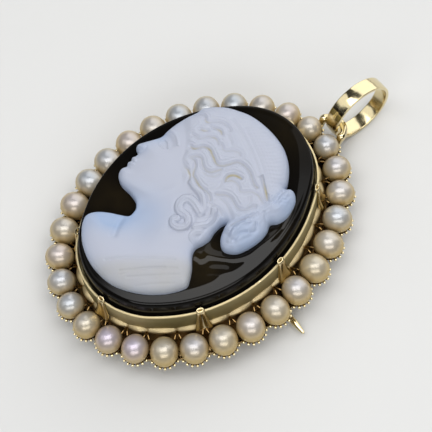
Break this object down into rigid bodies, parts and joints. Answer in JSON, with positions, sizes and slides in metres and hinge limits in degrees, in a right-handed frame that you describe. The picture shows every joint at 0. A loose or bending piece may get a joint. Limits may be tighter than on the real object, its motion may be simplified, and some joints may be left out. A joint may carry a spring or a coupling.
{
  "type": "cameo pendant and brooch",
  "caption": "Oval layered onyx cameo of a lady's bust in a gold claw setting with a pearl border, a swinging band bail and a brooch pin.",
  "frame": {"origin": "centre of the stone's flat back, in the middle of the oval", "axes": "+X to the right seen from the front, +Y along the oval's length towards the bail, +Z out of the jewel's face"},
  "size_m": [0.0331, 0.0479, 0.013],
  "materials": {
    "gold": "polished pale yellow gold",
    "onyx_black": "polished",
    "onyx_white": "satin, carved",
    "pearl": "pearl lustre"
  },
  "bodies": {
    "jewel": {"gold_frame": "gold", "cameo_ground": "onyx_black", "cameo_figure": "onyx_white", "brooch_pin": "gold", "pearl_01": "pearl", "pearl_02": "pearl", "pearl_03": "pearl", "pearl_04": "pearl", "pearl_05": "pearl", "pearl_06": "pearl", "pearl_07": "pearl", "pearl_08": "pearl", "pearl_09": "pearl", "pearl_10": "pearl", "pearl_11": "pearl", "pearl_12": "pearl", "pearl_13": "pearl", "pearl_14": "pearl", "pearl_15": "pearl", "pearl_16": "pearl", "pearl_17": "pearl", "pearl_18": "pearl", "pearl_19": "pearl", "pearl_20": "pearl", "pearl_21": "pearl", "pearl_22": "pearl", "pearl_23": "pearl", "pearl_24": "pearl", "pearl_25": "pearl", "pearl_26": "pearl", "pearl_27": "pearl", "pearl_28": "pearl", "pearl_29": "pearl", "pearl_30": "pearl"},
    "bail": {"bail": "gold"}
  },
  "joints": [
    {"name": "bail_swing", "type": "hinge", "parent": "jewel", "child": "bail", "pos_m": [0, 0.02139, -0.00175], "axis": [1, 0, 0], "range_deg": [-31, 42]}
  ]
}
